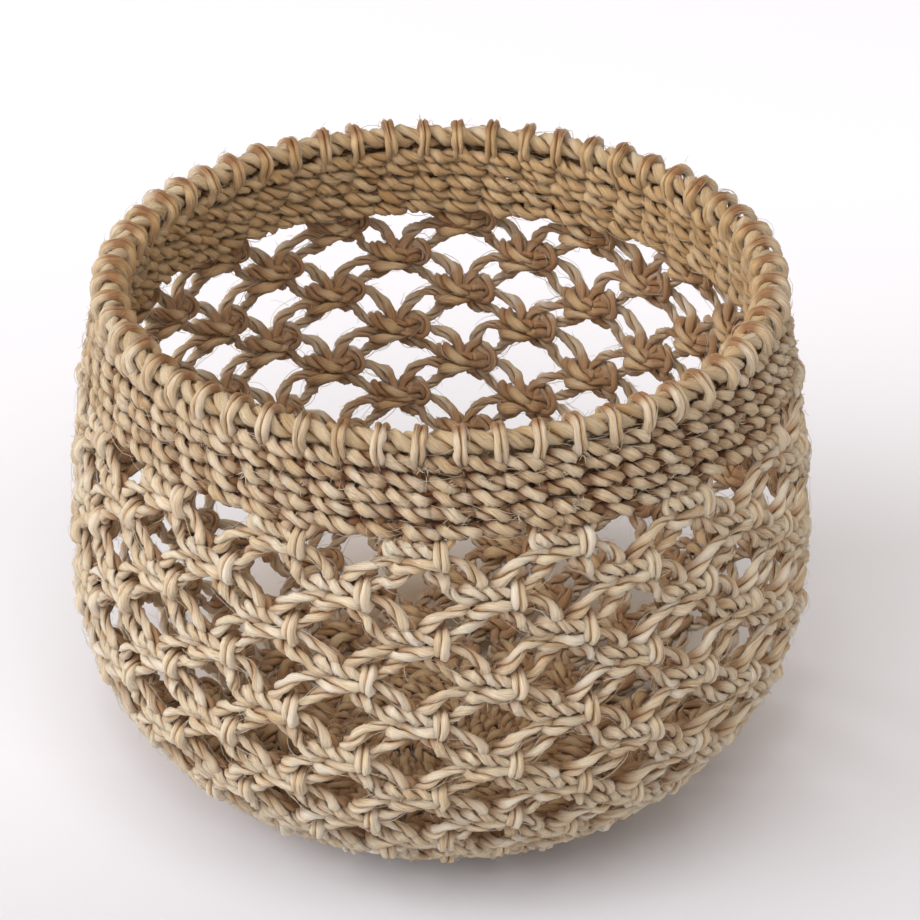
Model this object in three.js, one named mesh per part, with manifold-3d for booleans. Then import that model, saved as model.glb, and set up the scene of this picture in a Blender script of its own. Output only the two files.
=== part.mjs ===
// A round basket of twisted natural fibre cord.
// Its wall is a net of square knots, drawn in to a small closed base.
// Its band is twined from pairs of cords, and cord loops bind its rim.
// Millimetres, +Z up. The origin is the middle of the base, on the surface that the basket stands on.
import * as THREE from "three";
import { mergeVertices } from "three/addons/utils/BufferGeometryUtils.js";
import Module from "manifold-3d";

// Overall shape, measured on the outside
const basketHeight = 188;
const rimRadius = 108;
const bellyRadius = 120;
const bellyHeight = 82;
const footRadius = 54;

// Cord: two plies twisted together, which flatten side by side where the cord is pulled tight
const cordDiameter = 5.2;
const flatCordThickness = 2.7;
const flatCordWidth = 5.4;

// Rim and band
const rimLoopCount = 56;
const rimBinderHeight = 1.4;
const rimBinderProud = 0.4;
const bandRowCount = 5;
const bandRowHeight = 5.2;

// Net of square knots
const knotsPerRow = 16;
const knotRowCount = 13;
const knotWidth = 18;
const knotHeight = 11;
const knotDepth = 9.5;
const legHeight = 5.6;
const legDepth = 5.4;
const legInset = 1.4;
// Where the cells are narrow, a knot takes this share of a cell to each side of its middle
const knotShareOfCell = 0.3;
// The legs meet over this share of a knot's width
const meetingShareOfKnot = 0.45;

// Base
const baseKnotCount = 8;
const baseKnotWidth = 15;
const baseKnotHeight = 14;
const baseLegReach = 7;
const baseCentreRadius = 27;

// Clearance between pieces that touch
const gap = 0.3;

// Fineness of the faceted surfaces
const outlineSteps = 90;
const ringSegments = 48;
const hoopSides = 6;
const bevelShare = 0.22;
const loopCornerShare = 0.8;
// The wall's slope at a point is taken between two points this far up and down from it
const slopeReach = 12;

const loopDepth = cordDiameter + 2 * (gap + flatCordThickness);
const bandDepth = loopDepth + 2 * rimBinderProud;
const rimCourseHeight = flatCordThickness + gap + cordDiameter + gap + rimBinderHeight;

// The outline of the outside, from the rim down the wall and across the base to its middle
function outlinePoints() {
  const points = [];
  const neckHeight = basketHeight - bellyHeight;
  for (let i = 0; i < outlineSteps; i += 1) {
    const share = 1 - i / outlineSteps;
    const radius = bellyRadius - (bellyRadius - rimRadius) * share * share;
    points.push(new THREE.Vector2(radius, bellyHeight + neckHeight * share));
  }
  const footAngle = Math.acos(footRadius / bellyRadius);
  const bowlDepth = bellyHeight / Math.sin(footAngle);
  for (let i = 0; i <= outlineSteps; i += 1) {
    const angle = (footAngle * i) / outlineSteps;
    const height = bellyHeight - bowlDepth * Math.sin(angle);
    points.push(new THREE.Vector2(bellyRadius * Math.cos(angle), height));
  }
  points.push(new THREE.Vector2(0, 0));
  return points;
}

const outline = outlinePoints();
const outlineLengths = [0];
for (let i = 1; i < outline.length; i += 1) {
  outlineLengths.push(outlineLengths[i - 1] + outline[i].distanceTo(outline[i - 1]));
}
const outlineLength = outlineLengths[outlineLengths.length - 1];

// The outline's point at a distance along it from the rim
function outlineAt(distance) {
  const wanted = Math.min(Math.max(distance, 0), outlineLength);
  let i = 1;
  while (outlineLengths[i] < wanted) {
    i += 1;
  }
  const share = (wanted - outlineLengths[i - 1]) / (outlineLengths[i] - outlineLengths[i - 1]);
  return outline[i - 1].clone().lerp(outline[i], share);
}

// A point of the wall: a distance down from the rim, an angle round and a depth in from the outside
function wallPoint(distance, angle, depth) {
  const point = outlineAt(distance);
  const along = outlineAt(distance + slopeReach).sub(outlineAt(distance - slopeReach)).normalize();
  const radius = point.x + along.y * depth;
  const height = point.y - along.x * depth;
  return new THREE.Vector3(radius * Math.cos(angle), radius * Math.sin(angle), height);
}

// A five-sided section: flat outside, bevelled, with a ridge inside
function wallSection(distance, height, outerDepth, innerDepth) {
  const half = height / 2;
  const bevel = height * bevelShare;
  const middle = (outerDepth + innerDepth) / 2;
  return [
    [distance - half + bevel, outerDepth],
    [distance + half - bevel, outerDepth],
    [distance + half, middle],
    [distance, innerDepth],
    [distance - half, middle],
  ];
}

// A closed ring through a list of stations, each an angle and a section of the wall
function ringGeometry(stations) {
  const positions = [];
  const indices = [];
  const sides = stations[0].section.length;
  for (const station of stations) {
    for (const [distance, depth] of station.section) {
      positions.push(...wallPoint(distance, station.angle, depth).toArray());
    }
  }
  for (let i = 0; i < stations.length; i += 1) {
    const here = i * sides;
    const next = ((i + 1) % stations.length) * sides;
    for (let j = 0; j < sides; j += 1) {
      const k = (j + 1) % sides;
      indices.push(here + j, here + k, next + k);
      indices.push(here + j, next + k, next + j);
    }
  }
  const geometry = new THREE.BufferGeometry();
  geometry.setAttribute("position", new THREE.Float32BufferAttribute(positions, 3));
  geometry.setIndex(indices);
  geometry.computeVertexNormals();
  return geometry;
}

// A plain ring with one section all the way round
function plainRing(section, segments, turn = 0) {
  const stations = [];
  for (let i = 0; i < segments; i += 1) {
    stations.push({ angle: turn + (2 * Math.PI * i) / segments, section });
  }
  return ringGeometry(stations);
}

// A ring of knots, joined by legs that meet halfway between the knots, on the knots of the next row
function knotRing({ count, turn, distance, width, height, meeting, knotAngles }) {
  const cellAngle = (2 * Math.PI) / count;
  const radius = outlineAt(distance).x;
  const halfKnot = Math.min(width / 2 / radius, cellAngle * knotShareOfCell);
  const halfMeeting = halfKnot * meetingShareOfKnot;
  const knot = wallSection(distance, height, 0, knotDepth);
  const legs = wallSection(meeting, legHeight, legInset, legInset + legDepth);
  const stations = [];
  for (let i = 0; i < count; i += 1) {
    const centre = turn + i * cellAngle;
    for (const share of knotAngles) {
      stations.push({ angle: centre + share * halfKnot, section: knot });
    }
    stations.push({ angle: centre + cellAngle / 2 - halfMeeting, section: legs });
    stations.push({ angle: centre + cellAngle / 2 + halfMeeting, section: legs });
  }
  return ringGeometry(stations);
}

const wasm = await Module();
wasm.setup();

// A closed geometry as a solid that can be joined
function toSolid(geometry) {
  const bare = geometry.clone();
  bare.deleteAttribute("normal");
  bare.deleteAttribute("uv");
  const merged = mergeVertices(bare, 1e-4);
  const vertProperties = new Float32Array(merged.attributes.position.array);
  const triVerts = new Uint32Array(merged.index.array);
  return new wasm.Manifold(new wasm.Mesh({ numProp: 3, vertProperties, triVerts }));
}

function toGeometry(solid) {
  const mesh = solid.getMesh();
  const geometry = new THREE.BufferGeometry();
  geometry.setAttribute("position", new THREE.Float32BufferAttribute(mesh.vertProperties, 3));
  geometry.setIndex(Array.from(mesh.triVerts));
  geometry.computeVertexNormals();
  return geometry;
}

const basket = new THREE.Group();

function addPiece(name, geometry, colour, roughness) {
  const material = new THREE.MeshStandardMaterial({ color: colour, roughness, metalness: 0 });
  const piece = new THREE.Mesh(geometry, material);
  piece.name = name;
  basket.add(piece);
}

// The rim cord: a hoop of cord inside the loops
const hoopDistance = flatCordThickness + gap + cordDiameter / 2;
function hoopSection() {
  const points = [];
  for (let i = 0; i < hoopSides; i += 1) {
    const angle = (2 * Math.PI * i) / hoopSides;
    const across = (Math.cos(angle) * cordDiameter) / 2;
    const down = (Math.sin(angle) * cordDiameter) / 2;
    points.push([hoopDistance + down, bandDepth / 2 - across]);
  }
  return points;
}
addPiece("rim_cord", plainRing(hoopSection(), rimLoopCount), 0xcbb08a, 0.85);

// The rim loops: upright cords that fold over the rim cord, held by a thin binding below it
function rimLoopOutline() {
  const tall = rimCourseHeight - rimBinderHeight / 2;
  const corner = flatCordThickness * loopCornerShare;
  const inner = flatCordThickness;
  const crown = tall - flatCordThickness;
  const shape = new THREE.Shape();
  shape.moveTo(0, 0);
  shape.lineTo(0, tall - corner);
  shape.lineTo(corner, tall);
  shape.lineTo(loopDepth - corner, tall);
  shape.lineTo(loopDepth, tall - corner);
  shape.lineTo(loopDepth, 0);
  shape.lineTo(loopDepth - inner, 0);
  shape.lineTo(loopDepth - inner, crown);
  shape.lineTo(inner, crown);
  shape.lineTo(inner, 0);
  shape.closePath();
  return shape;
}

function rimLoops() {
  const binderTop = rimCourseHeight - rimBinderHeight;
  const binderMiddle = rimCourseHeight - rimBinderHeight / 2;
  const binder = [
    [binderTop, 0],
    [rimCourseHeight, 0],
    [rimCourseHeight, bandDepth],
    [binderTop, bandDepth],
  ];
  let joined = toSolid(plainRing(binder, rimLoopCount, Math.PI / rimLoopCount));
  const settings = { depth: flatCordWidth, bevelEnabled: false };
  const loop = new THREE.ExtrudeGeometry(rimLoopOutline(), settings);
  loop.translate(0, 0, -flatCordWidth / 2);
  for (let i = 0; i < rimLoopCount; i += 1) {
    const angle = (2 * Math.PI * i) / rimLoopCount;
    const foot = wallPoint(binderMiddle, angle, rimBinderProud);
    const inwards = wallPoint(binderMiddle, angle, bandDepth).sub(foot).normalize();
    const sideways = new THREE.Vector3(-Math.sin(angle), Math.cos(angle), 0);
    const upwards = new THREE.Vector3().crossVectors(sideways, inwards);
    const placed = new THREE.Matrix4().makeBasis(inwards, upwards, sideways).setPosition(foot);
    joined = joined.add(toSolid(loop.clone().applyMatrix4(placed)));
  }
  return toGeometry(joined);
}
addPiece("rim_loops", rimLoops(), 0xd3ba95, 0.85);

// The band: rows of two cords that twist round the uprights
let distance = rimCourseHeight + gap;
for (let row = 0; row < bandRowCount; row += 1) {
  const height = bandRowHeight - gap;
  const section = wallSection(distance + height / 2, height, 0, bandDepth);
  const ring = plainRing(section, ringSegments);
  addPiece(`band_row_${row + 1}`, ring, row % 2 ? 0xcfb58f : 0xd8c19d, 0.88);
  distance += bandRowHeight;
}

// The net: each row's knots sit half a cell round from those of the row above
const firstKnot = distance + knotHeight / 2;
const baseLegsEnd = outlineLength - baseCentreRadius - gap;
const baseKnotDistance = baseLegsEnd - baseLegReach - baseKnotHeight / 2;
const lastMeeting = baseKnotDistance - baseKnotHeight / 2 - gap;
const rowPitch = (lastMeeting - firstKnot + knotHeight / 2 + gap) / knotRowCount;
for (let row = 0; row < knotRowCount; row += 1) {
  const centre = firstKnot + row * rowPitch;
  const legsEnd = centre + rowPitch - knotHeight / 2 - gap;
  const ring = knotRing({
    count: knotsPerRow,
    turn: (row % 2) * (Math.PI / knotsPerRow),
    distance: centre,
    width: knotWidth,
    height: knotHeight,
    meeting: legsEnd - legHeight / 2,
    knotAngles: [-1, 1],
  });
  const number = String(row + 1).padStart(2, "0");
  addPiece(`knot_row_${number}`, ring, row % 2 ? 0xc9ad84 : 0xd6bd97, 0.86);
}

// The base: a smaller ring of knots round a gathered middle
const baseTurn = ((knotRowCount % 2) * Math.PI) / knotsPerRow;
const baseRing = knotRing({
  count: baseKnotCount,
  turn: baseTurn,
  distance: baseKnotDistance,
  width: baseKnotWidth,
  height: baseKnotHeight,
  meeting: baseLegsEnd - legHeight / 2,
  knotAngles: [-1, 0, 1],
});
addPiece("base_knot_row", baseRing, 0xcdb189, 0.86);

function baseCentre() {
  const edge = baseCentreRadius - cordDiameter / 2;
  const crown = knotDepth - cordDiameter / 4;
  const profile = [
    new THREE.Vector2(0, 0),
    new THREE.Vector2(edge, 0),
    new THREE.Vector2(baseCentreRadius, legInset + legDepth / 2),
    new THREE.Vector2(edge, crown),
    new THREE.Vector2(0, knotDepth),
  ];
  const geometry = new THREE.LatheGeometry(profile, ringSegments / 2);
  return geometry.rotateX(Math.PI / 2);
}
addPiece("base_centre", baseCentre(), 0xc4a67c, 0.88);

export default basket;
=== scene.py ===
import math
import random
import bpy
import numpy as np
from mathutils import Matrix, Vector


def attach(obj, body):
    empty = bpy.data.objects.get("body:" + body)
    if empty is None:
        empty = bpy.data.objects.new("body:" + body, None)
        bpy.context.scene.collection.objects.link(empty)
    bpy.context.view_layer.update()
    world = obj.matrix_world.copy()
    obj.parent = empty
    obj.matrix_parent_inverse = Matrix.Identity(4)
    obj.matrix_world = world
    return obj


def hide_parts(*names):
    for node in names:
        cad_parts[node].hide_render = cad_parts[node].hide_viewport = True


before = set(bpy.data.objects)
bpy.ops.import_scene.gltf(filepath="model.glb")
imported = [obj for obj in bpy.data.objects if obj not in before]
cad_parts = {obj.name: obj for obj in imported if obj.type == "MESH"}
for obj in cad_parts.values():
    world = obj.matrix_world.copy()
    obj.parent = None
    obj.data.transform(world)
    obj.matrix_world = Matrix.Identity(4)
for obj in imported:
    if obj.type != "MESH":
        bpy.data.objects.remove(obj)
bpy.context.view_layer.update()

# A round basket: a net of square knots in twisted plant fibre cord, under a twined band with a bound rim.
# Lengths are in millimetres until a mesh is made, which turns them to metres.
mm = 0.001
rng = random.Random(16)
waveRng = np.random.default_rng(16)

basket = {
    "height": 188,
    "rimRadius": 108,
    "bellyRadius": 120,
    "bellyHeight": 82,
    "footRadius": 54,
    "slopeReach": 12,  # the wall's slope at a point is taken between two points this far up and down
    "outlineSteps": 90,
}


# Camera, light and floor

studio = {
    "elevation": 30,  # the camera looks down by this angle, and stands this far round from the front
    "azimuth": 3.1,
    "distance": 1440,
    "focalPixels": 4404,
    "framePixels": 920,
    "sensor": 36,
    "aimRight": 6.2,  # it aims this far to the right of the belly's middle, and above it
    "aimUp": 28.4,
    "farEnd": 50,  # metres
    # Lamps: place and width in metres, and power
    "lamps": {
        "key": ((-2.6, -1.4, 1.9), 2.6, 88),
        "fill": ((0.9, -3.6, 1.35), 2.6, 17),
        "top": ((0.0, -1.7, 2.8), 2.2, 46),
    },
    "lampAim": (0, 0, 0.08),
    "lampColour": "#FEFCFC",
    # Floor: sizes and places in metres
    "floorSize": 9.0,
    "floorRoughness": 0.9,
    "floorColour": "#E6E7EF",
    "frontShadeColour": "#CACCD4",  # painted shade: the floor is darker towards the front, where the light falls off
    "frontShadeReach": (-0.01, -0.16),
    "underShadowColour": "#B4A08C",  # painted shadow: the floor under the basket is darker and warmer
    "underShadowCentre": (0.0, 0.055, 0),
    "underShadowReach": (0.05, 0.125),
    "liftColour": "#F3F4FF",
    "floorLift": 0.06,
    "liftCentre": (0.02, 0.1, 0),  # the middle of the shadow
    "liftReach": (0.07, 0.25),  # the lift of the floor grows between these distances from there
    "backLift": 0.17,  # the floor is lifted by this as well, behind the basket
    "backReach": (0.15, 0.45),
    "worldColour": "#F6EADA",
    "worldStrength": 0.54,
}


def hexColour(text):  # sRGB hex to the linear colour that Blender works in
    parts = [int(text[i:i + 2], 16) / 255 for i in (1, 3, 5)]
    return [p / 12.92 if p <= 0.04045 else ((p + 0.055) / 1.055) ** 2.4 for p in parts] + [1.0]


def addNode(tree, kind, inputs=None, **settings):  # inputs: socket name or number -> value or other socket
    node = tree.nodes.new(kind)
    for name, value in settings.items():
        setattr(node, name, value)
    for socket, value in (inputs or {}).items():
        if isinstance(value, bpy.types.NodeSocket):
            tree.links.new(value, node.inputs[socket])
        else:
            node.inputs[socket].default_value = value
    return node


def addCamera():
    elevation = math.radians(studio["elevation"])
    azimuth = math.radians(studio["azimuth"])
    away = Vector((math.sin(azimuth) * math.cos(elevation), -math.cos(azimuth) * math.cos(elevation),
                   math.sin(elevation)))
    right = Vector((math.cos(azimuth), math.sin(azimuth), 0))
    up = away.cross(right)
    middle = Vector((0, 0, basket["bellyHeight"]))
    aim = middle + right * studio["aimRight"] + up * studio["aimUp"]
    data = bpy.data.cameras.new("camera")
    data.sensor_width = studio["sensor"]
    data.lens = studio["focalPixels"] * studio["sensor"] / studio["framePixels"]
    data.clip_end = studio["farEnd"]
    camera = bpy.data.objects.new("camera", data)
    camera.location = (aim + away * studio["distance"]) * mm
    camera.rotation_euler = (-away).to_track_quat("-Z", "Y").to_euler()
    bpy.context.collection.objects.link(camera)
    bpy.context.scene.camera = camera


def addLamp(name, place, size, power):
    data = bpy.data.lights.new(name, "AREA")
    data.shape = "DISK"
    data.size = size
    data.energy = power
    data.color = hexColour(studio["lampColour"])[:3]
    lamp = bpy.data.objects.new(name, data)
    lamp.location = place
    lamp.rotation_euler = (Vector(studio["lampAim"]) - Vector(place)).to_track_quat("-Z", "Y").to_euler()
    bpy.context.collection.objects.link(lamp)


def floorPaint():
    paint = bpy.data.materials.new("matt white floor")
    paint.use_nodes = True
    tree = paint.node_tree
    shader = tree.nodes["Principled BSDF"]
    shader.inputs["Roughness"].default_value = studio["floorRoughness"]
    shader.inputs["Emission Color"].default_value = hexColour(studio["liftColour"])
    place = addNode(tree, "ShaderNodeTexCoord").outputs["Object"]
    alongFloor = addNode(tree, "ShaderNodeSeparateXYZ", {"Vector": place}).outputs["Y"]
    # Painted shade: the floor is darker towards the front
    front = addNode(tree, "ShaderNodeMapRange", {
        "Value": alongFloor, "From Min": studio["frontShadeReach"][0], "From Max": studio["frontShadeReach"][1]})
    colour = addNode(tree, "ShaderNodeMix", {
        0: front.outputs["Result"], 6: hexColour(studio["floorColour"]),
        7: hexColour(studio["frontShadeColour"])}, data_type="RGBA")
    # Painted shadow: the floor is darker and warmer under the basket
    fromFoot = addNode(tree, "ShaderNodeVectorMath", {0: place, 1: studio["underShadowCentre"]},
                       operation="DISTANCE")
    under = addNode(tree, "ShaderNodeMapRange", {
        "Value": fromFoot.outputs["Value"], "From Min": studio["underShadowReach"][1],
        "From Max": studio["underShadowReach"][0]})
    colour = addNode(tree, "ShaderNodeMix", {
        0: under.outputs["Result"], 6: colour.outputs[2],
        7: hexColour(studio["underShadowColour"])}, data_type="RGBA")
    tree.links.new(colour.outputs[2], shader.inputs["Base Color"])
    # Painted light: the floor glows brighter for rays that see it, and gives the basket no more light
    fromShadow = addNode(tree, "ShaderNodeVectorMath", {0: place, 1: studio["liftCentre"]},
                         operation="DISTANCE")
    lift = addNode(tree, "ShaderNodeMapRange", {
        "Value": fromShadow.outputs["Value"], "From Min": studio["liftReach"][0],
        "From Max": studio["liftReach"][1], "To Max": studio["floorLift"]})
    backLift = addNode(tree, "ShaderNodeMapRange", {
        "Value": alongFloor, "From Min": studio["backReach"][0],
        "From Max": studio["backReach"][1], "To Max": studio["backLift"]})
    lift = addNode(tree, "ShaderNodeMath", {0: lift.outputs["Result"], 1: backLift.outputs["Result"]},
                   operation="ADD")
    rays = addNode(tree, "ShaderNodeLightPath").outputs
    seen = addNode(tree, "ShaderNodeMath", {0: rays["Is Camera Ray"], 1: rays["Is Glossy Ray"]},
                   operation="MAXIMUM")
    seen = addNode(tree, "ShaderNodeMath", {0: seen.outputs[0], 1: rays["Is Transmission Ray"]},
                   operation="MAXIMUM")
    glow = addNode(tree, "ShaderNodeMath", {0: seen.outputs[0], 1: lift.outputs[0]}, operation="MULTIPLY")
    tree.links.new(glow.outputs[0], shader.inputs["Emission Strength"])
    return paint


def addFloor():
    bpy.ops.object.select_all(action="DESELECT")
    bpy.ops.mesh.primitive_plane_add(size=studio["floorSize"], location=(0, 0, 0))
    floor = bpy.context.active_object
    floor.name = "floor"
    floor.data.materials.append(floorPaint())


def addWorld():
    world = bpy.data.worlds.new("studio")
    world.use_nodes = True
    background = world.node_tree.nodes["Background"]
    background.inputs["Color"].default_value = hexColour(studio["worldColour"])
    background.inputs["Strength"].default_value = studio["worldStrength"]
    bpy.context.scene.world = world


def addStudio():
    addCamera()
    for name, lamp in studio["lamps"].items():
        addLamp(name, *lamp)
    addFloor()
    addWorld()
    bpy.context.scene.view_settings.view_transform = "Standard"
    print("studio: camera, three lamps and floor")


addStudio()


# The wall that every cord follows

def wallOutline():  # radius, height and length along the outside, from the rim to the middle of the base
    steps = basket["outlineSteps"]
    share = 1 - np.arange(steps) / steps
    upperRadius = basket["bellyRadius"] - (basket["bellyRadius"] - basket["rimRadius"]) * share ** 2
    upperHeight = basket["bellyHeight"] + (basket["height"] - basket["bellyHeight"]) * share
    footAngle = math.acos(basket["footRadius"] / basket["bellyRadius"])
    bowlDepth = basket["bellyHeight"] / math.sin(footAngle)
    angle = footAngle * np.arange(steps + 1) / steps
    radius = np.concatenate([upperRadius, basket["bellyRadius"] * np.cos(angle), [0]])
    height = np.concatenate([upperHeight, basket["bellyHeight"] - bowlDepth * np.sin(angle), [0]])
    length = np.concatenate([[0], np.cumsum(np.hypot(np.diff(radius), np.diff(height)))])
    return radius, height, length


outlineRadius, outlineHeight, outlineLength = wallOutline()


def wallAt(distance):  # the outside's radius and height, this far along the outline
    radius = np.interp(distance, outlineLength, outlineRadius)
    height = np.interp(distance, outlineLength, outlineHeight)
    return radius, height


def wallFrame(distance, angle, depth):  # points of the wall, and its unit vectors right, down and inwards
    reach = basket["slopeReach"]
    radius, height = wallAt(distance)
    upperRadius, upperHeight = wallAt(distance - reach)
    lowerRadius, lowerHeight = wallAt(distance + reach)
    size = np.hypot(lowerRadius - upperRadius, lowerHeight - upperHeight)
    slopeRadius = (lowerRadius - upperRadius) / size
    slopeHeight = (lowerHeight - upperHeight) / size
    cosine, sine = np.cos(angle), np.sin(angle)
    radius = radius + slopeHeight * depth
    height = height - slopeRadius * depth
    points = np.stack([radius * cosine, radius * sine, height], axis=-1)
    right = np.stack([-sine, cosine, np.zeros_like(sine)], axis=-1)
    down = np.stack([slopeRadius * cosine, slopeRadius * sine, slopeHeight], axis=-1)
    inwards = np.stack([slopeHeight * cosine, slopeHeight * sine, -slopeRadius], axis=-1)
    return points, right, down, inwards


# Cord: two plies twisted together

cord = {
    "plyRadius": 1.43,
    "plySpread": (0.94, 1.06),  # each ply has its own share of the radius
    "plyApart": 0.76,  # how far a ply's middle lies from the cord's middle, as a share of the ply's radius
    "plyShape": (0.84, 1.2),  # a ply's thickness and width, as shares of a round one's
    "plySides": 9,
    "fibreSides": 3,
    "step": 1.45,
    "fewestSteps": 4,
    "wobble": 0.3,
    "wobbleLength": 12,
    "wobbleRadius": 5,  # nearer the middle of the base than this, cord strays round it by no larger angle
    "swell": 0.12,  # how much a ply thickens and thins, as a share of its radius
    "swellLength": 8,
    "ridge": 0.19,  # how far the fibre bundles of a ply stand out, as a share of its radius
    "ridgeLength": 10,
    "waves": 3,  # random lines are sums of this many waves, with these shares of the length asked for
    "waveSpread": (0.6, 1.6),
    "fibreTurnLength": 55,  # the fibres go once round their ply in this length
    "creaseShadeStart": 0.5,  # how far from its outer side a ply's painted shade begins, darkening it towards its twin, from -1 to 1
    "patternShift": (900, 4000),  # how far each tube's pattern may be moved round it and along it
    "groundClearance": 0.9,  # cord lower than this is pressed flat against the ground
}

looseFibre = {  # lies along the cord, and lifts off it in between
    "every": 10,  # there is one in this length of cord
    "steps": (7, 15),
    "radius": (0.07, 0.12),
    "drift": 2,  # how far it goes round the cord, in radians
    "height": (1.35, 1.75),  # from the middle of the cord, as a share of a ply's radius
    "lift": (0.3, 1.3),
}

fuzz = {  # short fibres that stand off the cord
    "every": 3,
    "length": (0.8, 2.6),
    "radius": 0.075,
    "taper": (1.1, 1, 0.5),
    "height": 1.5,
    "slant": 0.6,  # how far it heads off the cord's own direction
    "middle": (0.5, 0.3),  # how far along and out its middle lies, as shares of its length
    "endAlong": (0.7, 1),
    "endOut": (0.3, 0.8),
    "aslant": 0.2,  # tips the direction that its sides are square to, which so never runs along the fibre
}

strayFibre = {  # longer fibres that stand off the wall
    "radius": 0.11,
    "radiusSpread": (0.7, 1.3),
    "taper": 0.6,
    "steps": 6,
    "bend": 1.2,
    "arch": (1.2, 2.6),  # how far along a wave it goes: it falls back to the wall at pi
    "aslant": 0.3,  # as for the fuzz
}


def newBatch():
    return {"points": [], "quads": [], "quadUvs": [], "ends": [], "endUvs": [], "depths": [], "creaseShades": [],
            "count": 0}


def unit(vectors):
    return vectors / np.linalg.norm(vectors, axis=1, keepdims=True)


def waves(length, wavelength, amplitude, count, lines=1, closed=False):
    # Smooth random lines, one in each column
    place = np.arange(count)[:, None] / (count if closed else count - 1)
    total = np.zeros((count, lines))
    for _ in range(cord["waves"]):
        cycles = length / (wavelength * waveRng.uniform(*cord["waveSpread"], lines))
        if closed:
            cycles = np.round(cycles)
        total += np.sin(2 * np.pi * (place * cycles + waveRng.uniform(0, 1, lines)))
    return total * amplitude / 2


def addTube(batch, centre, across, over, size, sides, depths, ridges=1, spin=0, closed=False, shape=(1, 1)):
    # A tube through the points in centre. across and over are unit vectors square to it, size is its radius,
    # and depths says how deep in the wall each point lies. ridges gives the radius of each corner as a share
    # of size, spin turns each ring, and shape flattens it. The side away from across, where a ply meets its
    # twin, gets painted shade.
    count = len(centre)
    turn = 2 * np.pi * np.arange(sides) / sides + np.zeros((count, 1)) + np.reshape(spin, (-1, 1))
    reach = size[:, None] * ridges * np.ones((count, sides))
    rings = (centre[:, None, :] + across[:, None, :] * (shape[0] * reach * np.cos(turn))[:, :, None]
             + over[:, None, :] * (shape[1] * reach * np.sin(turn))[:, :, None])
    first = batch["count"]
    batch["points"].append(rings.reshape(-1, 3))
    batch["depths"].append(np.repeat(depths, sides))
    # Painted shade: each corner is darker the more it faces the twin ply
    crease = np.clip((-np.cos(turn) - cord["creaseShadeStart"]) / (1 - cord["creaseShadeStart"]), 0, 1)
    batch["creaseShades"].append(crease.ravel() * (sides > cord["fibreSides"]))  # fibres have none
    batch["count"] += count * sides
    here = np.arange(count if closed else count - 1)
    after = (here + 1) % count
    side = np.arange(sides)
    nextSide = (side + 1) % sides
    corners = [here[:, None] * sides + side, here[:, None] * sides + nextSide,
               after[:, None] * sides + nextSide, after[:, None] * sides + side]
    batch["quads"].append(first + np.stack(corners, axis=-1).reshape(-1, 4))
    along = np.concatenate([[0], np.cumsum(np.linalg.norm(np.diff(centre, axis=0), axis=1))])
    along = along + rng.uniform(0, cord["patternShift"][1])
    width = 2 * np.pi * size.mean() / sides
    around = rng.uniform(0, cord["patternShift"][0])
    low = np.broadcast_to(along[here][:, None], (len(here), sides))
    high = low + np.linalg.norm(centre[after] - centre[here], axis=1)[:, None]
    left = np.broadcast_to(around + side * width, (len(here), sides))
    uvs = np.stack([left, low, left + width, low, left + width, high, left, high], axis=-1)
    batch["quadUvs"].append(uvs.reshape(-1, 2))
    if not closed:
        batch["ends"] += [first + side[::-1], first + (count - 1) * sides + side]
        batch["endUvs"] += [(around, along[0])] * sides + [(around, along[-1])] * sides


def twistPlies(batch, distance, angle, depth, lean, turn, radius, closed=False, thickness=1):
    # Two plies round a line on the wall. lean is the direction from one ply to the other (right, down,
    # inwards), and turn says how many times they have gone round each other. thickness is a share of radius.
    centre, right, down, inwards = wallFrame(distance, angle, depth)
    if closed:
        along = unit(np.roll(centre, -1, axis=0) - np.roll(centre, 1, axis=0))
    else:
        along = unit(np.gradient(centre, axis=0))
    side = right * lean[:, :1] + down * lean[:, 1:2] + inwards * lean[:, 2:]
    side = unit(side - along * (side * along).sum(axis=1, keepdims=True))
    cross = np.cross(along, side)
    count = len(centre)
    length = np.linalg.norm(np.diff(centre, axis=0), axis=1).sum()
    fibreTurns = length / cord["fibreTurnLength"]
    if closed:
        fibreTurns = round(fibreTurns)
    for ply in (0, 1):
        phase = (2 * np.pi * turn + np.pi * ply)[:, None]
        across = side * np.cos(phase) + cross * np.sin(phase)
        over = np.cross(along, across)
        swell = waves(length, cord["swellLength"], cord["swell"], count, closed=closed)[:, 0]
        size = radius * thickness * rng.uniform(*cord["plySpread"]) * (1 + swell)
        middle = centre + across * (size * cord["plyApart"])[:, None]
        depths = depth + ((middle - centre) * inwards).sum(axis=1)
        ridges = 1 + waves(length, cord["ridgeLength"], cord["ridge"], count, cord["plySides"], closed)
        spin = -2 * np.pi * fibreTurns * np.arange(count) / count
        addTube(batch, middle, across, over, size, cord["plySides"], depths, ridges, spin, closed,
                cord["plyShape"])
    for _ in range(int(length / looseFibre["every"])):
        addLooseFibre(batch, centre, side, cross, radius)
    for _ in range(int(length / fuzz["every"])):
        addFuzz(batch, centre, along, side, cross, radius)


def addLooseFibre(batch, centre, side, cross, radius):
    steps = rng.randint(*looseFibre["steps"])
    if steps >= len(centre):
        return
    first = rng.randrange(len(centre) - steps)
    part = slice(first, first + steps)
    share = np.linspace(0, 1, steps)
    around = rng.uniform(0, 2 * np.pi) + rng.uniform(-looseFibre["drift"], looseFibre["drift"]) * share
    out = side[part] * np.cos(around)[:, None] + cross[part] * np.sin(around)[:, None]
    height = radius * rng.uniform(*looseFibre["height"])
    height = height + rng.uniform(*looseFibre["lift"]) * np.sin(np.pi * share) ** 2
    line = centre[part] + out * height[:, None]
    forward = unit(np.gradient(line, axis=0))
    aside = unit(np.cross(forward, out))
    size = np.full(steps, rng.uniform(*looseFibre["radius"]))
    addTube(batch, line, aside, np.cross(forward, aside), size, cord["fibreSides"], np.zeros(steps))


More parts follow.
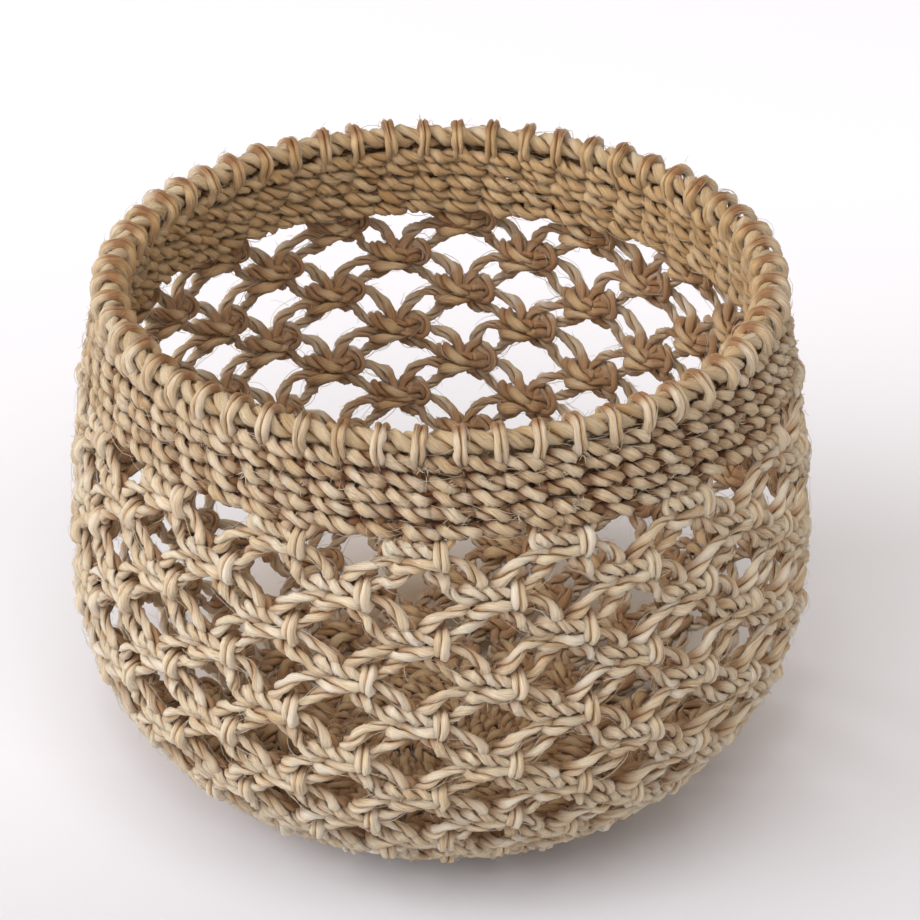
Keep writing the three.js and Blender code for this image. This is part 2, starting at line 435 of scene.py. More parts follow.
def addFuzz(batch, centre, along, side, cross, radius):
    i = rng.randrange(len(centre))
    turn = rng.uniform(0, 2 * math.pi)
    out = side[i] * math.cos(turn) + cross[i] * math.sin(turn)
    aside = side[i] * -math.sin(turn) + cross[i] * math.cos(turn)
    length = rng.uniform(*fuzz["length"])
    heading = along[i] * rng.choice((-1, 1)) + aside * rng.uniform(-fuzz["slant"], fuzz["slant"])
    start = centre[i] + out * radius * fuzz["height"]
    middleAlong, middleOut = fuzz["middle"]
    line = np.array([start, start + heading * length * middleAlong + out * length * middleOut,
                     start + heading * length * rng.uniform(*fuzz["endAlong"])
                     + out * length * rng.uniform(*fuzz["endOut"])])
    forward = unit(np.gradient(line, axis=0))
    square = unit(np.cross(forward, aside + fuzz["aslant"] * out))
    size = fuzz["radius"] * np.array(fuzz["taper"])
    addTube(batch, line, square, np.cross(forward, square), size, cord["fibreSides"], np.zeros(len(line)))


def smoothRows(rows, places, wanted):  # a smooth curve through the rows at the given places
    slopes = np.diff(rows, axis=0) / np.diff(places)[:, None]
    before, after = np.diff(places)[:-1, None], np.diff(places)[1:, None]
    inner = (slopes[:-1] * after + slopes[1:] * before) / (before + after)
    tangents = np.concatenate([slopes[:1], inner, slopes[-1:]])
    i = np.clip(np.searchsorted(places, wanted, side="right") - 1, 0, len(places) - 2)
    span = (places[i + 1] - places[i])[:, None]
    t = (wanted - places[i])[:, None] / span
    return ((2 * t ** 3 - 3 * t ** 2 + 1) * rows[i] + (t ** 3 - 2 * t ** 2 + t) * span * tangents[i]
            + (3 * t ** 2 - 2 * t ** 3) * rows[i + 1] + (t ** 3 - t ** 2) * span * tangents[i + 1])


def layCord(batch, rows, radius):  # rows of distance, angle, depth, lean (3), turn and, if wanted, thickness
    rows = np.array(rows, dtype=float)
    points = wallFrame(rows[:, 0], rows[:, 1], rows[:, 2])[0]
    places = np.concatenate([[0], np.cumsum(np.linalg.norm(np.diff(points, axis=0), axis=1))])
    count = max(int(places[-1] / cord["step"]), cord["fewestSteps"]) + 1
    fine = smoothRows(rows, places, np.linspace(0, places[-1], count))
    fade = np.sin(np.linspace(0, np.pi, count))
    stray = waves(places[-1], cord["wobbleLength"], cord["wobble"], count, 3) * fade[:, None]
    distance = fine[:, 0] + stray[:, 0]
    radiusHere = np.maximum(wallAt(distance)[0], cord["wobbleRadius"])
    angle = fine[:, 1] + stray[:, 1] / radiusHere
    depth = fine[:, 2] + stray[:, 2]
    thickness = fine[:, 7] if rows.shape[1] > 7 else 1
    twistPlies(batch, distance, angle, depth, fine[:, 3:6], fine[:, 6], radius, thickness=thickness)


def addFibre(batch, distance, angle, depth, length, out, radius=strayFibre["radius"]):
    steps = strayFibre["steps"]
    points, right, down, inwards = wallFrame(np.array([distance]), np.array([angle]), np.array([depth]))
    heading = rng.uniform(0, 2 * np.pi)
    bend = rng.uniform(-strayFibre["bend"], strayFibre["bend"])
    share = np.linspace(0, 1, steps)
    flat = heading + bend * share
    sideways = np.cumsum(np.cos(flat)) / steps * length
    downwards = np.cumsum(np.sin(flat)) / steps * length
    outwards = out * np.sin(share * rng.uniform(*strayFibre["arch"]))
    centre = points + sideways[:, None] * right + downwards[:, None] * down - outwards[:, None] * inwards
    along = unit(np.gradient(centre, axis=0))
    across = unit(np.cross(along, inwards + strayFibre["aslant"] * right))
    size = radius * rng.uniform(*strayFibre["radiusSpread"]) * (1 - strayFibre["taper"] * share)
    addTube(batch, centre, across, np.cross(along, across), size, cord["fibreSides"], np.zeros(steps))


def makePiece(name, batch, material, node):
    points = np.concatenate(batch["points"])
    ground = cord["groundClearance"]
    pressed = ground * np.exp(np.minimum(points[:, 2] / ground - 1, 0))
    points[:, 2] = np.where(points[:, 2] < ground, pressed, points[:, 2])
    points = points * mm
    quads = np.concatenate(batch["quads"])
    ends = batch["ends"]
    corners = np.concatenate([quads.ravel()] + ends)
    sizes = np.concatenate([np.full(len(quads), 4), [len(end) for end in ends]]).astype(int)
    uvs = np.concatenate(batch["quadUvs"] + [np.reshape(batch["endUvs"], (-1, 2))])
    mesh = bpy.data.meshes.new(name)
    mesh.vertices.add(len(points))
    mesh.vertices.foreach_set("co", points.astype(np.float32).ravel())
    mesh.loops.add(len(corners))
    mesh.loops.foreach_set("vertex_index", corners.astype(np.int32))
    mesh.polygons.add(len(sizes))
    mesh.polygons.foreach_set("loop_start", np.concatenate([[0], np.cumsum(sizes)[:-1]]).astype(np.int32))
    mesh.polygons.foreach_set("use_smooth", np.ones(len(sizes), dtype=bool))
    layer = mesh.uv_layers.new(name="cordUv")
    layer.data.foreach_set("uv", uvs.astype(np.float32).ravel())
    depths = mesh.attributes.new("wallDepth", "FLOAT", "POINT")
    depths.data.foreach_set("value", np.concatenate(batch["depths"]).astype(np.float32))
    # Painted shade where the plies meet, kept for the cord material
    creaseShades = mesh.attributes.new("crease", "FLOAT", "POINT")
    creaseShades.data.foreach_set("value", np.concatenate(batch["creaseShades"]).astype(np.float32))
    mesh.update(calc_edges=True)
    mesh.validate()
    piece = bpy.data.objects.new(name, mesh)
    bpy.context.collection.objects.link(piece)
    piece.data.materials.append(material)
    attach(piece, "root")
    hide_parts(node)
    print(name, "-", int((sizes - 2).sum()), "triangles")


# Abaca cord: dry pale plant fibre, streaked along each ply, with a faint silky lustre

abaca = {
    "fibreWidth": 0.36,  # bundles of fibres, drawn coarser than they are, to show
    "fibreLength": 9,
    "fibreDetail": 4,
    "fibreContrast": 0.68,
    "stretchWidth": 9,  # each stretch of ply has a tone of its own
    "stretchLength": 60,
    "stretchDetail": 2,
    "stretchContrast": 0.5,
    "stretchShare": 0.4,
    "toneStops": (0.35, 0.49, 0.65),
    "innerShadeColour": "#F8E9D0",  # painted shade: cord is warmer towards the inside of the basket, standing in for warm bounce light
    "innerShadeReach": (3, 8),
    "wallMiddle": 5.2,
    "creaseShadeColour": "#CAA56B",  # painted shade: cord is browner in the groove between its plies
    "bumpStrength": 0.8,
    "bumpDepth": 0.7,
    "roughness": 0.74,
    "specular": 0.25,
    "sheen": 0.12,
    "subsurface": 0.3,
    "subsurfaceRadius": (0.9, 0.6, 0.3),
    "subsurfaceDepth": 2,
}

# Tones are dark, middle and light. Painted shade: in the thick of the wall, where cord lies in shade, it
# takes on the depth shade colour, by the depth shade amount at most; it begins and is full at the two
# distances from the wall's middle.
cordLooks = {
    "net": {"tones": ("#BEA27D", "#DAC9AD", "#E3DCD1"), "depthShadeColour": "#B48451", "depthShadeAmount": 0.7,
            "depthShadeReach": (3.6, 1.2)},
    "band": {"tones": ("#AE8F67", "#CCB696", "#DBD0BF"), "depthShadeColour": "#8E6234", "depthShadeAmount": 0.95,
             "depthShadeReach": (3.0, 1.0)},
    "rim": {"tones": ("#AE9069", "#CDB899", "#DED4C5"), "depthShadeColour": "#AC8050", "depthShadeAmount": 0.8,
            "depthShadeReach": (3.6, 1.2)},
    "hoop": {"tones": ("#AA8D67", "#C9B595", "#DBCFBD"), "depthShadeColour": "#B08C58", "depthShadeAmount": 0,
             "depthShadeReach": (3.6, 1.2)},
}


def fibrePattern(tree):  # fine streaks, and the same with the tones of whole stretches mixed in
    uv = addNode(tree, "ShaderNodeUVMap", uv_map="cordUv").outputs["UV"]
    bundles = addNode(tree, "ShaderNodeMapping", {
        "Vector": uv, "Scale": (1 / abaca["fibreWidth"], 1 / abaca["fibreLength"], 1)})
    streaks = addNode(tree, "ShaderNodeTexNoise", {
        "Vector": bundles.outputs["Vector"], "Scale": 1, "Detail": abaca["fibreDetail"],
        "Roughness": abaca["fibreContrast"]}, noise_dimensions="2D")
    stretch = addNode(tree, "ShaderNodeMapping", {
        "Vector": uv, "Scale": (1 / abaca["stretchWidth"], 1 / abaca["stretchLength"], 1)})
    stretches = addNode(tree, "ShaderNodeTexNoise", {
        "Vector": stretch.outputs["Vector"], "Scale": 1, "Detail": abaca["stretchDetail"],
        "Roughness": abaca["stretchContrast"]}, noise_dimensions="2D")
    mixed = addNode(tree, "ShaderNodeMix", {
        0: abaca["stretchShare"], 2: streaks.outputs["Fac"], 3: stretches.outputs["Fac"]}, data_type="FLOAT")
    return streaks.outputs["Fac"], mixed.outputs[0]


def abacaCord(name, look):
    material = bpy.data.materials.new(name)
    material.use_nodes = True
    tree = material.node_tree
    shader = tree.nodes["Principled BSDF"]
    streaks, mixed = fibrePattern(tree)
    ramp = addNode(tree, "ShaderNodeValToRGB", {"Fac": mixed})
    stops = ramp.color_ramp.elements
    stops.new(abaca["toneStops"][1])
    for stop, position, tone in zip(stops, abaca["toneStops"], look["tones"]):
        stop.position = position
        stop.color = hexColour(tone)
    # Painted shade: warmer towards the inside, as bounce light in shade
    depth = addNode(tree, "ShaderNodeAttribute", attribute_name="wallDepth").outputs["Fac"]
    inner = addNode(tree, "ShaderNodeMapRange", {
        "Value": depth, "From Min": abaca["innerShadeReach"][0], "From Max": abaca["innerShadeReach"][1]})
    colour = addNode(tree, "ShaderNodeMix", {
        0: inner.outputs["Result"], 6: ramp.outputs["Color"],
        7: hexColour(abaca["innerShadeColour"])}, data_type="RGBA", blend_type="MULTIPLY")
    # Painted shade: brown in the thick of the wall
    fromMiddle = addNode(tree, "ShaderNodeMath", {0: depth, 1: abaca["wallMiddle"]}, operation="SUBTRACT")
    fromMiddle = addNode(tree, "ShaderNodeMath", {0: fromMiddle.outputs[0]}, operation="ABSOLUTE")
    depthShade = addNode(tree, "ShaderNodeMapRange", {
        "Value": fromMiddle.outputs[0], "From Min": look["depthShadeReach"][0],
        "From Max": look["depthShadeReach"][1], "To Max": look["depthShadeAmount"]})
    colour = addNode(tree, "ShaderNodeMix", {
        0: depthShade.outputs["Result"], 6: colour.outputs[2],
        7: hexColour(look["depthShadeColour"])}, data_type="RGBA", blend_type="MULTIPLY")
    # Painted shade: brown where the plies meet
    crease = addNode(tree, "ShaderNodeAttribute", attribute_name="crease").outputs["Fac"]
    colour = addNode(tree, "ShaderNodeMix", {
        0: crease, 6: colour.outputs[2],
        7: hexColour(abaca["creaseShadeColour"])}, data_type="RGBA", blend_type="MULTIPLY")
    bump = addNode(tree, "ShaderNodeBump", {
        "Height": streaks, "Strength": abaca["bumpStrength"], "Distance": abaca["bumpDepth"] * mm})
    tree.links.new(colour.outputs[2], shader.inputs["Base Color"])
    tree.links.new(bump.outputs["Normal"], shader.inputs["Normal"])
    shader.inputs["Roughness"].default_value = abaca["roughness"]
    shader.inputs["Specular IOR Level"].default_value = abaca["specular"]
    shader.inputs["Sheen Weight"].default_value = abaca["sheen"]
    shader.inputs["Subsurface Weight"].default_value = abaca["subsurface"]
    shader.inputs["Subsurface Radius"].default_value = abaca["subsurfaceRadius"]
    shader.inputs["Subsurface Scale"].default_value = abaca["subsurfaceDepth"] * mm
    return material


netMaterial = abacaCord("abaca cord, knotted", cordLooks["net"])
bandMaterial = abacaCord("abaca cord, twined", cordLooks["band"])
rimMaterial = abacaCord("abaca cord, pulled flat", cordLooks["rim"])
hoopMaterial = abacaCord("abaca cord, thick", cordLooks["hoop"])
print("cord materials: done")


# The net: rows of square knots, each row half a cell round from the row above

net = {
    "rows": 13,
    "perRow": 16,
    "cellWidth": 47.1,  # the cell for which the knot's points below are given
    "knotHeight": 11,
    "firstKnot": 41.7,
    "gap": 0.3,
    "shift": 0.9,  # how far a knot may sit from its place
    "firstRowShift": 0.4,  # the share of it, up and down, for the knots right under the band
    "tilt": 5,
    "knotReach": 9,  # knots are this wide to each side of their middle
    "knotNarrowing": 0.15,  # how far knots follow the rows where these get narrow
    "tightness": 0.9,  # how far the points below are drawn together, down the wall and through it
    "middleDepth": 4.2,
    "knotThickness": 1.04,
    "legThickness": 0.72,
    "legThickening": 0.9,  # legs are thicker where the rows get narrow, up to legThickest
    "legThickest": 1.15,
    "twistSpread": 0.06,
    "radiusSpread": (0.96, 1.05),
    "fibres": {"perKnot": 3, "aside": 14, "below": (-6, 8), "depth": 1.2, "length": (3, 9),
               "out": (0.3, 2.2)},
}

baseKnots = {
    "count": 8,
    "height": 14,
    "stretch": 1.2,  # how much taller these knots are than those of the net
    "turned": 0.25,  # the ring is turned by this share of a knot
    "legReach": 7,
    "centreRadius": 27,
    "cellWidth": 37,  # as the net's, for these knots
    "plyRadius": 1.6,
    "legPlyRadius": 1.4,
    "legsApart": 3.2,  # how far the two cords from a knot of the net lie from its middle
    "sources": (-3, -1, 1, 3),  # the four nearest knots of the net, in half cells
    "landing": 2.6,  # where their cords reach the base knot, for each half cell, and how far apart
    "landingApart": 1.4,
    "strandPlyRadius": 1.55,
    # Strands to the middle: the share of a knot's turn, and whether it passes by the knot
    "strands": ((-0.42, True), (-0.28, True), (-0.14, False), (0, False), (0.14, False), (0.28, True),
                (0.42, True)),
    "strandGather": 0.6,  # strands from the knot start at this share of their turn
    # Routes: how far down past a knot or the end of the ring, depth and twist
    "legStart": ((1, 5.2, 0), (5, 4.2, 0.2)),
    "legMiddle": ((-9, 3.9, 0.6),),
    "legEnd": ((-1, 5.4, 0.9),),
    "passingBy": ((-10, 6.4, -0.6), (-2, 6.6, -0.2)),
    "fromKnot": ((1, 5.0, 0),),
    "belowKnot": ((7, 4.4, 0.3),),
    "toMiddle": ((1, 4.6, 0.6), (7, 5.2, 0.8)),
    "rings": ((36, 28), (30, 24)),  # radius and stitches of the twined rounds that hold the strands
}

baseMiddle = {
    "rings": ((24, 18), (18.6, 14), (13.2, 10), (7.8, 6)),
    "depth": 4.9,
    "rise": 1.5,
    "swing": 2.4,
    "plyRadius": 1.4,
    "spokes": 8,
    "spokePlyRadius": 1.25,
    # Distance from the middle, turn round it, depth and twist along a spoke
    "spoke": ((26, 0, 5.0, 0), (14, 0.1, 5.0, 0.5), (6, 0.3, 4.6, 0.9), (2, 0.7, 4.8, 1.1)),
}

# Lean directions of the plies along a knot: right, down and inwards
leans = {
    "down": (0, 1, 0),
    "up": (0, -1, 0),
    "right": (1, 0, 0),
    "left": (-1, 0, 0),
    "rightDown": (0.7, 0.7, 0),
    "rightUp": (0.7, -0.7, 0),
    "leftUp": (-0.7, -0.7, 0),
}

# Points of each cord of a knot: whose knot (0 this one, -1 the one below left, 1 the one below right),
# across, down, depth, lean and turns. The right-hand worker starts under the bump.
rightWorkerKnot = [
    (0, 7.6, -1.7, 3.8, "down", 0.0),
    (0, 4.2, -1.7, 2.9, "down", 0.15),
    (0, 0.0, -2.4, 2.1, "down", 0.55),
    (0, -4.2, -3.2, 2.1, "down", 1.0),
    (0, -8.0, -4.0, 2.9, "down", 1.35),
    (0, -10.6, -2.4, 4.9, "rightDown", 1.5),
    (0, -11.2, 0.2, 5.6, "right", 1.6),
    (0, -10.2, 2.8, 4.9, "rightUp", 1.65),
    (0, -7.4, 3.9, 2.8, "up", 1.75),
    (0, -3.0, 3.2, 2.1, "up", 1.95),
    (0, 2.0, 2.7, 2.3, "up", 2.2),
    (0, 6.8, 2.2, 3.8, "up", 2.4),
]
rightWorkerLeg = [
    (0, 10.2, 2.2, 3.4, "up", 2.6),
    (0, 14.2, 3.8, 2.7, "rightUp", 2.85),
    (1, -4.1, -6.8, 3.0, "rightUp", 3.3),
    (1, -3.3, -3.4, 5.0, "right", 3.5),
    (1, -2.4, 0.2, 5.0, "right", 3.6),
]
leftWorkerKnot = [
    (0, -3.6, -1.3, 6.9, "down", 0.0),
    (0, 1.5, -2.0, 7.6, "down", 0.3),
    (0, 5.2, -3.3, 6.7, "rightDown", 0.45),
    (0, 6.9, -3.9, 3.9, "right", 0.5),
    (0, 6.9, -2.5, 1.2, "right", 0.5),
    (0, 6.9, 0.1, 0.4, "right", 0.52),
    (0, 6.9, 2.8, 1.2, "right", 0.55),
    (0, 6.9, 4.2, 3.9, "right", 0.6),
    (0, 5.2, 3.7, 6.7, "rightUp", 0.65),
    (0, 1.5, 2.4, 7.6, "up", 0.8),
    (0, -3.5, 1.7, 6.8, "up", 1.1),
    (0, -7.0, 1.0, 4.0, "up", 1.3),
    (0, -10.2, 1.4, 2.1, "up", 1.5),
]
leftWorkerLeg = [
    (0, -13.6, 2.6, 1.9, "leftUp", 1.72),
    (-1, 3.0, -7.6, 2.5, "leftUp", 2.12),
    (-1, 0.9, -4.6, 4.6, "left", 2.3),
    (-1, 1.2, -0.4, 5.0, "left", 2.35),
]
leftCoreKnot = [
    (0, -2.0, -0.5, 5.2, "left", 0.0),
    (0, -2.6, 3.0, 5.0, "left", 0.15),
    (0, -4.4, 6.0, 3.6, "leftUp", 0.4),
]
leftCoreLeg = [
    (0, -8.4, 8.3, 2.5, "leftUp", 0.62),
    (-1, 12.0, -4.4, 2.4, "leftUp", 0.92),
    (-1, 9.2, -2.2, 3.2, "up", 1.08),
    (-1, 6.2, -1.7, 3.9, "up", 1.2),
]
rightCoreKnot = [
    (0, 2.2, -0.5, 5.2, "right", 0.0),
    (0, 1.9, 3.2, 5.0, "right", 0.15),
    (0, 3.0, 6.0, 3.7, "rightUp", 0.35),
]
rightCoreLeg = [
    (0, 6.6, 8.7, 2.6, "rightUp", 0.65),
    (1, -13.0, -3.4, 2.1, "rightUp", 1.1),
    (1, -10.2, -1.5, 1.9, "up", 1.3),
    (1, -7.0, -0.9, 4.0, "up", 1.45),
    (1, -3.6, -1.3, 6.9, "up", 1.5),
]
# The cords that come down out of the band into the first row
leadIns = [
    [(0, -8.4, -11, 6.6, "right", 0.0), (0, -9.6, -6.8, 4.0, "right", 0.15),
     (0, -10.0, -2.2, 2.2, "rightUp", 0.3), (0, -7.0, -0.9, 4.0, "up", 0.4), (0, -3.6, -1.3, 6.9, "up", 0.5)],
    [(0, -3.0, -11, 6.6, "right", 0.0), (0, -3.2, -6.6, 5.0, "right", 0.2),
     (0, -2.4, 0.2, 5.0, "right", 0.4)],
    [(0, 2.6, -11, 6.6, "left", 0.0), (0, 2.0, -6.6, 5.0, "left", 0.2), (0, 1.2, -0.4, 5.0, "left", 0.4)],
    [(0, 9.0, -11, 6.6, "left", 0.0), (0, 10.4, -6.8, 4.2, "left", 0.15),
     (0, 9.2, -3.2, 3.4, "leftUp", 0.3), (0, 6.2, -1.7, 4.0, "up", 0.4)],
]

baseLegsEnd = outlineLength[-1] - baseKnots["centreRadius"] - net["gap"]
baseKnotDistance = baseLegsEnd - baseKnots["legReach"] - baseKnots["height"] / 2
lastMeeting = baseKnotDistance - baseKnots["height"] / 2 - net["gap"]
rowPitch = (lastMeeting - net["firstKnot"] + net["knotHeight"] / 2 + net["gap"]) / net["rows"]
cellAngle = 2 * math.pi / net["perRow"]


def placeKnot(row, number):  # a knot's middle, tilt and width, each a little different from the next
    distance = net["firstKnot"] + row * rowPitch
    radius, _ = wallAt(distance)
    squeeze = float(min(1, cellAngle * radius / net["cellWidth"]))
    knotTurn = squeeze ** net["knotNarrowing"] / float(radius)
    return {
        "distance": distance + rng.uniform(-1, 1) * net["shift"] * (net["firstRowShift"] if row == 0 else 1),
        "angle": (number + 0.5 * (row % 2)) * cellAngle + rng.uniform(-1, 1) * net["shift"] / radius,
        "tilt": math.radians(rng.uniform(-1, 1) * net["tilt"]),
        "knotTurn": knotTurn,  # angle round the basket for a millimetre of the knot, and for one of its legs
        "legTurn": (cellAngle / 2 - net["knotReach"] * knotTurn) / (net["cellWidth"] / 2 - net["knotReach"]),
        "squeeze": squeeze,
        "legThickness": min(net["legThickest"], net["legThickness"] + net["legThickening"] * (1 - squeeze)),
    }


knotPlaces = [[placeKnot(row, number) for number in range(net["perRow"])] for row in range(net["rows"])]


def toWall(knot, across, down, depth, lean, turn):  # a knot's point as distance, angle, depth, lean and turns
    cosine, sine = math.cos(knot["tilt"]), math.sin(knot["tilt"])
    down = down * net["tightness"]
    depth = net["middleDepth"] + (depth - net["middleDepth"]) * net["tightness"]
    turned = across * cosine - down * sine
    lowered = across * sine * knot["squeeze"] + down * cosine
    inKnot = min(abs(turned), net["knotReach"])
    beyond = abs(turned) - inKnot
    angle = knot["angle"] + math.copysign(inKnot * knot["knotTurn"] + beyond * knot["legTurn"], turned)
    return (knot["distance"] + lowered, angle, depth) + leans[lean] + (turn,)


def knotCord(batch, row, number, points, phase, radius):
    rows = []
    for whose, across, down, depth, lean, turn in points:
        if whose == 0:
            knot, around = knotPlaces[row][number], 0
        else:
            below = number + (row % 2) if whose == 1 else number - 1 + (row % 2)
            around = 2 * math.pi * (below // net["perRow"])
            knot = knotPlaces[row + 1][below % net["perRow"]]
        place = list(toWall(knot, across, down, depth, lean, turn + phase))
        place[1] += around
        inKnot = abs(across) < net["knotReach"]
        rows.append(place + [net["knotThickness"] if inKnot else knot["legThickness"]])
    layCord(batch, rows, radius)


def netRow(row):
    batch = newBatch()
    last = row == net["rows"] - 1
    for number in range(net["perRow"]):
        for knotPart, leg in ((rightWorkerKnot, rightWorkerLeg), (leftWorkerKnot, leftWorkerLeg),
                              (leftCoreKnot, leftCoreLeg), (rightCoreKnot, rightCoreLeg)):
            points = knotPart if last else knotPart + leg
            phase = rng.uniform(-net["twistSpread"], net["twistSpread"])
            knotCord(batch, row, number, points, phase, cord["plyRadius"] * rng.uniform(*net["radiusSpread"]))
        if row == 0:
            for points in leadIns:
                knotCord(batch, row, number, points, 0, cord["plyRadius"])
        knot = knotPlaces[row][number]
        fibres = net["fibres"]
        for _ in range(fibres["perKnot"]):
            aside = rng.uniform(-fibres["aside"], fibres["aside"])
            addFibre(batch, knot["distance"] + rng.uniform(*fibres["below"]),
                     knot["angle"] + aside * knot["legTurn"], fibres["depth"], rng.uniform(*fibres["length"]),
                     rng.uniform(*fibres["out"]))
    name = f"{row + 1:02d}"
    makePiece("net_cords_" + name, batch, netMaterial, "knot_row_" + name)


for row in range(net["rows"]):
    netRow(row)
print("net: done")


# The band: rows of two cords that twist round the uprights

twining = {
    "step": 1.5,
    "dive": 1.9,  # how steeply a cord goes from the front of an upright to the back of the next
    "stray": 0.62,
    "strayLength": 14,
    "strayPhase": 0.35,  # shares of the stray that a stitch is shifted by, along the row and across it
    "strayAcross": 0.5,
    "swayLength": 90,
}

band = {
    "rows": 5,
    "rowHeight": 5.25,
    "top": 9.9,
    "stitches": 56,
    "depth": 12,
    "rise": 0.6,
    "swing": 3.3,
    "plyRadius": 1.6,
    "turnsPerStitch": 0.93,
    "slant": 0.13,  # each row starts this much of a stitch later than the row above
    "startSpread": 0.08,
    "fibres": {"perRow": 45, "spread": 2, "depth": 0.8, "length": (3, 9), "out": (0.3, 2)},
    # Places where a cord has frayed
    "frays": {"perRow": 9, "fibres": 7, "spread": 1, "turn": 0.006, "depth": 1.6, "length": (1.5, 3.5),
              "out": (0.4, 1.6), "radius": 0.22},
}


def twinedRow(batch, distance, stitches, middleDepth, rise, swing, radius, start, turns):
    # Two cords that pass in front of and behind the uprights in turn, and cross between them
    ringRadius, _ = wallAt(distance)
    length = float(2 * math.pi * ringRadius)
    count = int(length / twining["step"])
    around = 2 * np.pi * np.arange(count) / count
    stray = waves(length, twining["strayLength"], twining["stray"], count, 3, closed=True)
    sway = waves(length, twining["swayLength"], twining["stray"], count, closed=True)[:, 0]
    lean = np.tile((0.0, 1.0, 0.0), (count, 1))
    across = twining["strayAcross"]
    for strand in (0, 1):
        phase = around * stitches / 2 + math.pi * strand + twining["strayPhase"] * stray[:, 0]
        lowered = distance - rise * np.cos(phase) + across * stray[:, 1] + sway
        depth = middleDepth - swing * np.tanh(twining["dive"] * np.sin(phase)) + across * stray[:, 2]
        turn = turns * around / (2 * np.pi) + rng.uniform(0, 1)
        twistPlies(batch, lowered, around + start, depth, lean, turn, radius, closed=True)


def addBandFibres(batch, distance):
    fibres = band["fibres"]
    for _ in range(fibres["perRow"]):
        addFibre(batch, distance + rng.uniform(-fibres["spread"], fibres["spread"]),
                 rng.uniform(0, 2 * math.pi), fibres["depth"], rng.uniform(*fibres["length"]),
                 rng.uniform(*fibres["out"]))
    frays = band["frays"]
    for _ in range(frays["perRow"]):
        angle = rng.uniform(0, 2 * math.pi)
        for _ in range(frays["fibres"]):
            addFibre(batch, distance + rng.uniform(-frays["spread"], frays["spread"]),
                     angle + rng.uniform(-frays["turn"], frays["turn"]), frays["depth"],
                     rng.uniform(*frays["length"]), rng.uniform(*frays["out"]), frays["radius"])


def addBand():
    stitch = 2 * math.pi / band["stitches"]
    for row in range(band["rows"]):
        batch = newBatch()
        distance = band["top"] + (row + 0.5) * band["rowHeight"]
        start = stitch * (band["slant"] * row + rng.uniform(-band["startSpread"], band["startSpread"]))
        twinedRow(batch, distance, band["stitches"], band["depth"] / 2, band["rise"], band["swing"],
                  band["plyRadius"], start, band["stitches"] * band["turnsPerStitch"])
        addBandFibres(batch, distance)
        makePiece(f"band_cords_{row + 1}", batch, bandMaterial, f"band_row_{row + 1}")


addBand()
print("band: done")


# The rim: upright cords fold over a hoop of cord and go down into the band

rim = {
    "loops": 56,
    "hoopDistance": 6.4,
    "hoopDepth": 5.4,
    "hoopTurns": 40,
    "hoopStep": 1.4,
    "hoopPlyRadius": 2.3,
    "plyRadius": 1.24,
    "radiusSpread": (0.95, 1.06),
    "twistSpread": 0.02,
    # Distance, depth and twist along an upright: out of the band, over the hoop and down again inside
    "route": ((35, 6.9, 0.3), (20, 6.9, 0.15), (14, 5.2, 0.08), (10.8, 1.9, 0.04), (7.2, 0.5, 0),
              (3.9, 1.4, 0), (2.4, 5.2, 0), (3.9, 9.0, 0), (7.2, 10, 0), (10.8, 9.2, -0.04),
              (14, 7.4, -0.1), (20, 5.6, -0.2), (35, 5.6, -0.3)),
    "skew": 1.2,  # outside, an upright leans aside by up to this between two distances
    "skewFrom": 5,
    "skewTo": 15,
    "outside": 6,  # what lies less deep than this
    "fibres": {"distance": (2, 9), "depth": 1.0, "length": (3, 8), "out": (0.3, 2)},
}


def addHoop(radius):
    batch = newBatch()
    count = int(2 * math.pi * radius / rim["hoopStep"])
    around = 2 * np.pi * np.arange(count) / count
    lean = np.tile((0.0, 1.0, 0.0), (count, 1))
    distance = np.full(count, float(rim["hoopDistance"]))
    depth = np.full(count, float(rim["hoopDepth"]))
    twistPlies(batch, distance, around, depth, lean, around / (2 * np.pi) * rim["hoopTurns"],
               rim["hoopPlyRadius"], closed=True)
    makePiece("rim_hoop_cord", batch, hoopMaterial, "rim_cord")


def addLoops(radius):
    batch = newBatch()
    fibres = rim["fibres"]
    for number in range(rim["loops"]):
        middle = 2 * math.pi * number / rim["loops"]
        skew = rng.uniform(-rim["skew"], rim["skew"])
        rows = []
        for distance, depth, turn in rim["route"]:
            skewed = distance < rim["skewTo"] and depth < rim["outside"]
            shift = skew * (distance - rim["skewFrom"]) / (rim["skewTo"] - rim["skewFrom"]) if skewed else 0
            turn = turn + rng.uniform(-rim["twistSpread"], rim["twistSpread"])
            rows.append((distance, middle + shift / radius, depth) + leans["right"] + (turn,))
        layCord(batch, rows, rim["plyRadius"] * rng.uniform(*rim["radiusSpread"]))
        addFibre(batch, rng.uniform(*fibres["distance"]), middle, fibres["depth"],
                 rng.uniform(*fibres["length"]), rng.uniform(*fibres["out"]))
    makePiece("rim_loop_cords", batch, rimMaterial, "rim_loops")


def addRim():
    radius, _ = wallAt(rim["hoopDistance"])
    addHoop(radius)
    addLoops(radius)


addRim()
print("rim: done")


# The base: a ring of larger knots round a twined middle

def baseCord(batch, points, radius):  # points of distance, angle, depth and twist
    layCord(batch, [point[:3] + leans["right"] + point[3:] for point in points], radius)


def routePoints(distance, angle, route):
    return [(distance + past, angle, depth, twist) for past, depth, twist in route]


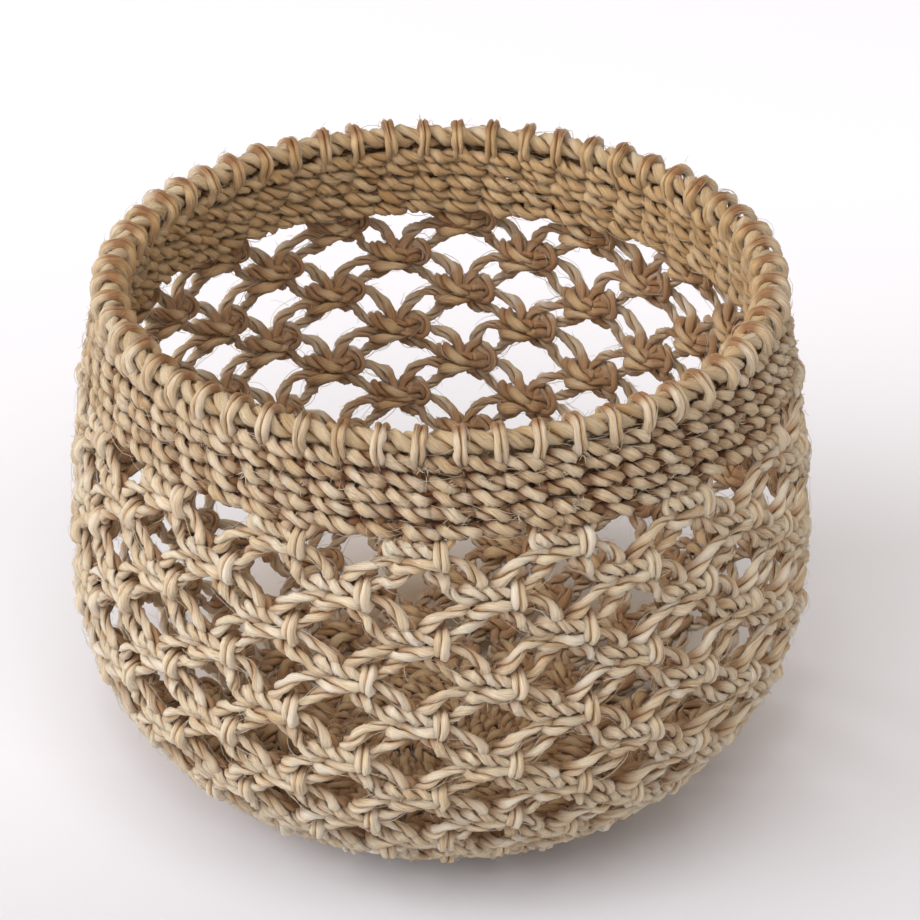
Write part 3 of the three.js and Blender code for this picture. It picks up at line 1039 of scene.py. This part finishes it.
def baseKnotCords(batch, number):
    turn = 2 * math.pi / baseKnots["count"]
    perMillimetre = turn / baseKnots["cellWidth"]
    knot = {"distance": baseKnotDistance, "angle": (number + baseKnots["turned"]) * turn, "tilt": 0,
            "knotTurn": perMillimetre, "legTurn": perMillimetre, "squeeze": 1}
    for points in (rightWorkerKnot, leftWorkerKnot, leftCoreKnot, rightCoreKnot):
        rows = []
        for _, across, down, depth, lean, turns in points:
            rows.append(toWall(knot, across, down * baseKnots["stretch"], depth, lean, turns))
        layCord(batch, rows, baseKnots["plyRadius"])
    # Two cords come from each of the four nearest knots of the last row of the net
    for steps in baseKnots["sources"]:
        source = knotPlaces[-1][(2 * number + (steps + 1) // 2) % net["perRow"]]
        sourceAngle = knot["angle"] + steps * cellAngle / 2
        for side in (-1, 1):
            start = sourceAngle + side * baseKnots["legsApart"] * source["knotTurn"]
            landing = steps * baseKnots["landing"] + side * baseKnots["landingApart"]
            end = knot["angle"] + landing * perMillimetre
            points = routePoints(source["distance"], start, baseKnots["legStart"])
            points += routePoints(baseKnotDistance, (start + 2 * end) / 3, baseKnots["legMiddle"])
            points += routePoints(baseKnotDistance, end, baseKnots["legEnd"])
            baseCord(batch, points, baseKnots["legPlyRadius"])
    # Strands go on to the middle: three from the knot, and two that pass it on each side
    for share, passes in baseKnots["strands"]:
        angle = knot["angle"] + share * turn
        if passes:
            points = routePoints(baseKnotDistance, angle, baseKnots["passingBy"])
        else:
            gathered = knot["angle"] + share * turn * baseKnots["strandGather"]
            points = routePoints(baseKnotDistance, gathered, baseKnots["fromKnot"])
        points += routePoints(baseKnotDistance, angle, baseKnots["belowKnot"])
        points += routePoints(baseLegsEnd, angle, baseKnots["toMiddle"])
        baseCord(batch, points, baseKnots["strandPlyRadius"])


def twinedRings(batch, rings):
    for ringRadius, stitches in rings:
        twinedRow(batch, outlineLength[-1] - ringRadius, stitches, baseMiddle["depth"], baseMiddle["rise"],
                  baseMiddle["swing"], baseMiddle["plyRadius"], rng.uniform(0, 1), stitches)


def addBase():
    batch = newBatch()
    for number in range(baseKnots["count"]):
        baseKnotCords(batch, number)
    twinedRings(batch, baseKnots["rings"])
    makePiece("base_knot_cords", batch, netMaterial, "base_knot_row")
    batch = newBatch()
    twinedRings(batch, baseMiddle["rings"])
    for number in range(baseMiddle["spokes"]):
        angle = 2 * math.pi * number / baseMiddle["spokes"]
        points = []
        for reach, turn, depth, twist in baseMiddle["spoke"]:
            points.append((outlineLength[-1] - reach, angle + turn, depth, twist))
        baseCord(batch, points, baseMiddle["spokePlyRadius"])
    makePiece("base_twined_middle", batch, netMaterial, "base_centre")


addBase()
print("base: done")
